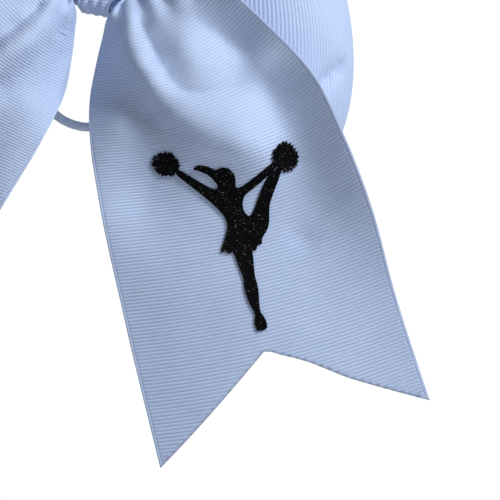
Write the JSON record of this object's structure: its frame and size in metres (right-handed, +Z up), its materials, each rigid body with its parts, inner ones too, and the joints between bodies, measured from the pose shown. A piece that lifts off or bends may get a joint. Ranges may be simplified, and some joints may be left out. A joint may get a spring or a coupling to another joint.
{
  "type": "cheer hair bow",
  "caption": "Gathered grosgrain ribbon hair bow with open loops, long V-cut tails, a glitter cheerleader silhouette and a round ponytail elastic behind the knot.",
  "frame": {"origin": "centre of the flat back face of the centre wrap, where the knot lies on the hair", "axes": "+Z up as worn, -Y is the front of the bow, +Y out of the knot's back, +X to the viewer's right through the tail that carries the silhouette"},
  "size_m": [0.2242, 0.0438, 0.1725],
  "materials": {
    "ribbon": "ribbed grosgrain weave, low sheen",
    "wrap_ribbon": "ribbed grosgrain weave, low sheen",
    "nylon": "moulded nylon",
    "glue": "set hot-melt glue",
    "elastic": "braided cover over a rubber core",
    "crimp_metal": "pressed sleeve",
    "glitter_vinyl": "black heat-transfer vinyl with fine glitter"
  },
  "bodies": {
    "knot": {"gathered_centre": "ribbon", "centre_wrap": "wrap_ribbon", "cable_tie": "nylon", "wrap_glue_dab_left": "glue", "wrap_glue_dab_right": "glue", "elastic_glue_dab_left": "glue", "elastic_glue_dab_right": "glue", "elastic_anchor": "elastic", "elastic_crimp": "crimp_metal"},
    "right_tail": {"right_tail": "ribbon", "cheerleader_decal": "glitter_vinyl"},
    "left_tail": {"left_tail": "ribbon"},
    "right_loop": {"right_loop": "ribbon"},
    "left_loop": {"left_loop": "ribbon"},
    "elastic_strands": {"elastic_strand_left": "elastic", "elastic_strand_right": "elastic"},
    "elastic_bend": {"elastic_bend": "elastic"}
  },
  "joints": [
    {"name": "right_tail_lift", "type": "hinge", "parent": "knot", "child": "right_tail", "pos_m": [0.0118, -0.0228, 0.008], "axis": [-1, 0, 0], "range_deg": [0, 60], "stiffness_Nm_per_rad": 0.012},
    {"name": "left_tail_lift", "type": "hinge", "parent": "knot", "child": "left_tail", "pos_m": [-0.0118, -0.0228, 0.008], "axis": [-1, 0, 0], "range_deg": [0, 60], "stiffness_Nm_per_rad": 0.012},
    {"name": "right_loop_fold", "type": "hinge", "parent": "knot", "child": "right_loop", "pos_m": [0.013, -0.016, 0], "axis": [0, 0, 1], "range_deg": [0, 25], "stiffness_Nm_per_rad": 0.02},
    {"name": "left_loop_fold", "type": "hinge", "parent": "knot", "child": "left_loop", "pos_m": [-0.013, -0.016, 0], "axis": [0, 0, -1], "range_deg": [0, 25], "stiffness_Nm_per_rad": 0.02},
    {"name": "elastic_swing", "type": "hinge", "parent": "knot", "child": "elastic_strands", "pos_m": [0, -0.0036, -0.0125], "axis": [1, 0, 0], "range_deg": [0, 100]},
    {"name": "elastic_stretch", "type": "slide", "parent": "elastic_strands", "child": "elastic_bend", "axis": [0, 0, -1], "range_m": [0, 0.03], "stiffness_N_per_m": 60, "deforming": ["elastic_strand_left", "elastic_strand_right"]}
  ]
}
